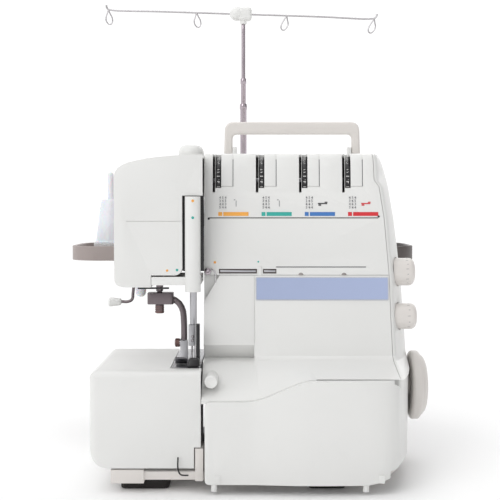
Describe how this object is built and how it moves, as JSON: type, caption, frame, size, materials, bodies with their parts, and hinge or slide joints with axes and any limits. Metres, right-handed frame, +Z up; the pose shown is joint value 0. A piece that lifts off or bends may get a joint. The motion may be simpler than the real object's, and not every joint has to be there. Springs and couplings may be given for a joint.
{
  "type": "serger overlock machine",
  "caption": "Home overlock sewing machine with free arm, fold-down looper cover, tension dials, side handwheel, spool tray and telescopic thread stand.",
  "frame": {"origin": "on the table, under the centre of the whole machine's box", "axes": "+Z up, +X to the handwheel side, -Y to the operator"},
  "size_m": [0.362, 0.33, 0.4643],
  "materials": {
    "shell": "smooth moulded off-white plastic, satin to semi-gloss",
    "warm_plastic": "fine-textured light warm grey plastic",
    "tray_plastic": "mauve-brown moulded plastic",
    "black_plastic": "black moulded plastic",
    "rubber": "black rubber",
    "steel": "ground steel",
    "chrome": "bright plated steel",
    "cast_aluminium": "bead-blasted die casting",
    "clear_plastic": "milky translucent plastic"
  },
  "bodies": {
    "root": {"lower_front_cover": "shell", "tension_cover": "shell", "top_cover": "shell", "rear_cover": "shell", "right_side_cover": "shell", "face_cover": "shell", "thread_column_cover": "shell", "base_plate": "warm_plastic", "spool_tray": "tray_plastic", "power_inlet": "black_plastic", "foot_front_left": "rubber", "foot_front_right": "rubber", "foot_rear_left": "rubber", "foot_rear_right": "rubber", "drive_belt": "rubber", "main_bearing_left": "steel", "main_bearing_right": "steel", "needle_plate": "steel", "lower_knife": "steel", "tension_axle": "steel", "pole_lower_tube": "chrome", "bed_casting": "cast_aluminium", "head_casting": "cast_aluminium", "drive_motor": "cast_aluminium", "lamp_lens": "clear_plastic", "cone_holder_1": "clear_plastic", "cone_holder_2": "clear_plastic", "cone_holder_3": "clear_plastic", "cone_holder_4": "clear_plastic"},
    "looper_cover_carrier": {"looper_cover_rod": "steel"},
    "looper_cover_body": {"looper_cover": "shell"},
    "free_arm_cover_body": {"free_arm_cover": "shell"},
    "main_shaft_body": {"main_shaft": "steel", "handwheel": "warm_plastic"},
    "motor_rotor": {"motor_pulley": "steel"},
    "needle_bar_body": {"needle_bar": "chrome", "needle_clamp": "chrome", "needle_1": "chrome", "needle_2": "chrome"},
    "upper_looper_body": {"upper_looper": "steel"},
    "lower_looper_body": {"lower_looper": "steel"},
    "upper_knife_body": {"upper_knife": "black_plastic"},
    "feed_dog_body": {"feed_dog": "steel"},
    "presser_lifter_body": {"presser_lifter": "warm_plastic"},
    "presser_bar_body": {"presser_bar": "chrome", "presser_arm": "chrome", "presser_foot": "chrome"},
    "stitch_length_dial_body": {"stitch_length_dial": "warm_plastic"},
    "differential_feed_dial_body": {"differential_feed_dial": "warm_plastic"},
    "tension_dial_1_body": {"tension_dial_1": "black_plastic"},
    "tension_dial_2_body": {"tension_dial_2": "black_plastic"},
    "tension_dial_3_body": {"tension_dial_3": "black_plastic"},
    "tension_dial_4_body": {"tension_dial_4": "black_plastic"},
    "pressure_knob_body": {"pressure_knob": "shell"},
    "carrying_handle_body": {"carrying_handle": "warm_plastic"},
    "power_switch_body": {"power_switch": "black_plastic"},
    "pole_middle": {"pole_middle_tube": "chrome"},
    "pole_top": {"pole_top_rod": "chrome"},
    "guide_bar": {"thread_guide_bar": "chrome", "guide_bar_head": "shell"}
  },
  "joints": [
    {"name": "looper_cover_slide", "type": "slide", "parent": "root", "child": "looper_cover_carrier", "axis": [1, 0, 0], "range_m": [0, 0.0056]},
    {"name": "looper_cover_fold", "type": "hinge", "parent": "looper_cover_carrier", "child": "looper_cover_body", "pos_m": [0.048, -0.153, 0.014], "axis": [1, 0, 0], "range_deg": [0, 88]},
    {"name": "free_arm_cover_swing", "type": "hinge", "parent": "root", "child": "free_arm_cover_body", "pos_m": [-0.122, -0.007, 0.06], "axis": [0, 0, -1], "range_deg": [0, 90]},
    {"name": "handwheel_turn", "type": "hinge", "parent": "root", "child": "main_shaft_body", "pos_m": [0.158, -0.045, 0.078], "axis": [1, 0, 0], "continuous": true},
    {"name": "motor_turn", "type": "hinge", "parent": "root", "child": "motor_rotor", "pos_m": [0.113, -0.005, 0.15], "axis": [1, 0, 0], "continuous": true},
    {"name": "needle_bar_stroke", "type": "slide", "parent": "root", "child": "needle_bar_body", "axis": [0, 0, 1], "range_m": [-0.008, 0.018]},
    {"name": "upper_looper_swing", "type": "hinge", "parent": "root", "child": "upper_looper_body", "pos_m": [-0.002, -0.105, 0.056], "axis": [0, 1, 0], "range_deg": [-17, 8]},
    {"name": "lower_looper_swing", "type": "hinge", "parent": "root", "child": "lower_looper_body", "pos_m": [-0.008, -0.095, 0.04], "axis": [0, 1, 0], "range_deg": [-15, 7]},
    {"name": "upper_knife_stroke", "type": "slide", "parent": "root", "child": "upper_knife_body", "axis": [0, 0, 1], "range_m": [-0.002, 0.0045]},
    {"name": "feed_dog_stroke", "type": "slide", "parent": "root", "child": "feed_dog_body", "axis": [0, 1, 0], "range_m": [-0.0012, 0.0027]},
    {"name": "presser_lifter_swing", "type": "hinge", "parent": "root", "child": "presser_lifter_body", "pos_m": [-0.102, -0.045, 0.184], "axis": [0, 1, 0], "range_deg": [0, 40]},
    {"name": "presser_bar_lift", "type": "slide", "parent": "root", "child": "presser_bar_body", "axis": [0, 0, 1], "range_m": [0, 0.0059]},
    {"name": "stitch_length_dial_turn", "type": "hinge", "parent": "root", "child": "stitch_length_dial_body", "pos_m": [0.148, -0.07, 0.189], "axis": [1, 0, 0], "range_deg": [-135, 135]},
    {"name": "differential_feed_dial_turn", "type": "hinge", "parent": "root", "child": "differential_feed_dial_body", "pos_m": [0.148, -0.08, 0.148], "axis": [1, 0, 0], "range_deg": [-120, 120]},
    {"name": "tension_dial_1_turn", "type": "hinge", "parent": "root", "child": "tension_dial_1_body", "pos_m": [-0.0214, -0.0588, 0.2748], "axis": [1, 0, 0], "range_deg": [-150, 150]},
    {"name": "tension_dial_2_turn", "type": "hinge", "parent": "root", "child": "tension_dial_2_body", "pos_m": [0.0187, -0.0588, 0.2748], "axis": [1, 0, 0], "range_deg": [-150, 150]},
    {"name": "tension_dial_3_turn", "type": "hinge", "parent": "root", "child": "tension_dial_3_body", "pos_m": [0.0588, -0.0588, 0.2748], "axis": [1, 0, 0], "range_deg": [-150, 150]},
    {"name": "tension_dial_4_turn", "type": "hinge", "parent": "root", "child": "tension_dial_4_body", "pos_m": [0.0989, -0.0588, 0.2748], "axis": [1, 0, 0], "range_deg": [-150, 150]},
    {"name": "pressure_knob_turn", "type": "hinge", "parent": "root", "child": "pressure_knob_body", "pos_m": [-0.048, -0.055, 0.3], "axis": [0, 0, 1], "range_deg": [-360, 360]},
    {"name": "carrying_handle_fold", "type": "hinge", "parent": "root", "child": "carrying_handle_body", "pos_m": [0.048, -0.001, 0.306], "axis": [1, 0, 0], "range_deg": [-85, 0]},
    {"name": "power_switch_rock", "type": "hinge", "parent": "root", "child": "power_switch_body", "pos_m": [0.155, 0.005, 0.064], "axis": [0, 1, 0], "range_deg": [-8, 0]},
    {"name": "pole_middle_slide", "type": "slide", "parent": "root", "child": "pole_middle", "axis": [0, 0, 1], "range_m": [-0.025, 0.06]},
    {"name": "pole_top_slide", "type": "slide", "parent": "pole_middle", "child": "pole_top", "axis": [0, 0, 1], "range_m": [-0.045, 0.04]},
    {"name": "guide_bar_turn", "type": "hinge", "parent": "pole_top", "child": "guide_bar", "pos_m": [0.001, 0.07, 0.454], "axis": [0, 0, 1], "range_deg": [-180, 180]}
  ],
  "couplings": [
    {"joint": "motor_turn", "follows": "handwheel_turn", "ratio": 3.25},
    {"joint": "upper_looper_swing", "follows": "needle_bar_stroke", "rad_per_m": -16},
    {"joint": "lower_looper_swing", "follows": "needle_bar_stroke", "rad_per_m": -14},
    {"joint": "upper_knife_stroke", "follows": "needle_bar_stroke", "ratio": 0.25},
    {"joint": "feed_dog_stroke", "follows": "needle_bar_stroke", "ratio": 0.15},
    {"joint": "presser_lifter_swing", "follows": "presser_bar_lift", "rad_per_m": 117.6}
  ]
}
